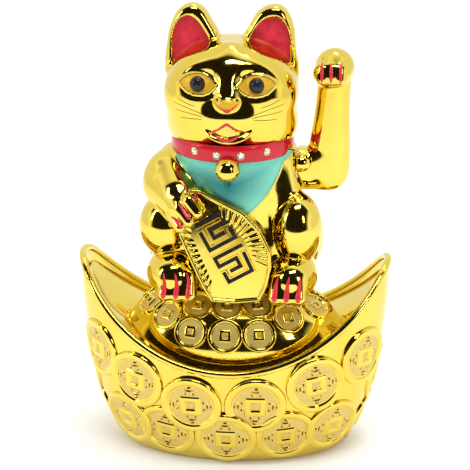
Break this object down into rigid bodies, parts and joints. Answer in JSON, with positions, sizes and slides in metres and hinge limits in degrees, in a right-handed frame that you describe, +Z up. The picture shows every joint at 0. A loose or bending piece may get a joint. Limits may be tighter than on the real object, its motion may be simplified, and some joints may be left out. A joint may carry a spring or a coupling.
{
  "type": "waving cat ornament",
  "caption": "Gold waving cat seated on a coin-covered boat-shaped ingot, holding a long coin, with one arm swung by a battery-driven pendulum.",
  "frame": {"origin": "centre of the ingot's resting face", "axes": "+Z up, -Y the way the cat faces, +X the cat's left, the side of the waving arm"},
  "size_m": [0.1058, 0.064, 0.152],
  "materials": {
    "gold_plastic": "bright metallised gold",
    "collar_red": "glossy",
    "bib_teal": "metallised teal with a gold edge",
    "bead_black": "glossy",
    "stone_clear": "faceted",
    "black_plastic": "matte",
    "white_plastic": "satin",
    "steel": "plain",
    "copper_wire": "lacquered winding",
    "ferrite": "plain",
    "board_green": "satin",
    "part_black": "satin",
    "capacitor_blue": "sleeved",
    "resistor_tan": "glossy",
    "wire_red": "satin",
    "wire_black": "satin",
    "wire_yellow": "satin",
    "cell_sleeve": "printed sleeve"
  },
  "bodies": {
    "figure": {"ingot_shell": "gold_plastic", "ingot_deck": "gold_plastic", "base_plate": "black_plastic", "base_screws": "steel", "battery_cell": "cell_sleeve", "positive_contact": "steel", "negative_contact": "steel", "switch_body": "part_black", "cat_front_shell": "gold_plastic", "cat_rear_shell": "gold_plastic", "cat_screws": "steel", "collar": "collar_red", "bib": "bib_teal", "bell": "gold_plastic", "collar_stones": "stone_clear", "eye_beads": "bead_black", "coin_plaque": "gold_plastic", "movement_frame": "white_plastic", "movement_screws": "steel", "coil_bobbin": "white_plastic", "coil_winding": "copper_wire", "circuit_board": "board_green", "transistors": "part_black", "capacitor": "capacitor_blue", "resistor": "resistor_tan", "lead_cell_to_switch": "wire_red", "lead_switch_to_board": "wire_yellow", "lead_cell_to_board": "wire_black"},
    "arm": {"arm_front_half": "gold_plastic", "arm_rear_half": "gold_plastic", "arm_shaft": "steel", "shaft_clip": "steel", "pendulum_lever": "white_plastic", "pendulum_magnet": "ferrite", "pendulum_weight": "steel"},
    "door": {"battery_door": "black_plastic"},
    "knob": {"switch_knob": "white_plastic"}
  },
  "joints": [
    {"name": "arm_swing", "type": "hinge", "parent": "figure", "child": "arm", "pos_m": [0.0215, 0.002, 0.099], "axis": [1, 0, 0], "range_deg": [-22, 22]},
    {"name": "battery_door_hinge", "type": "hinge", "parent": "figure", "child": "door", "pos_m": [-0.026, 0, 0.0018], "axis": [0, 1, 0], "range_deg": [0, 90]},
    {"name": "switch_slide", "type": "slide", "parent": "figure", "child": "knob", "axis": [1, 0, 0], "range_m": [0, 0.0025]}
  ]
}
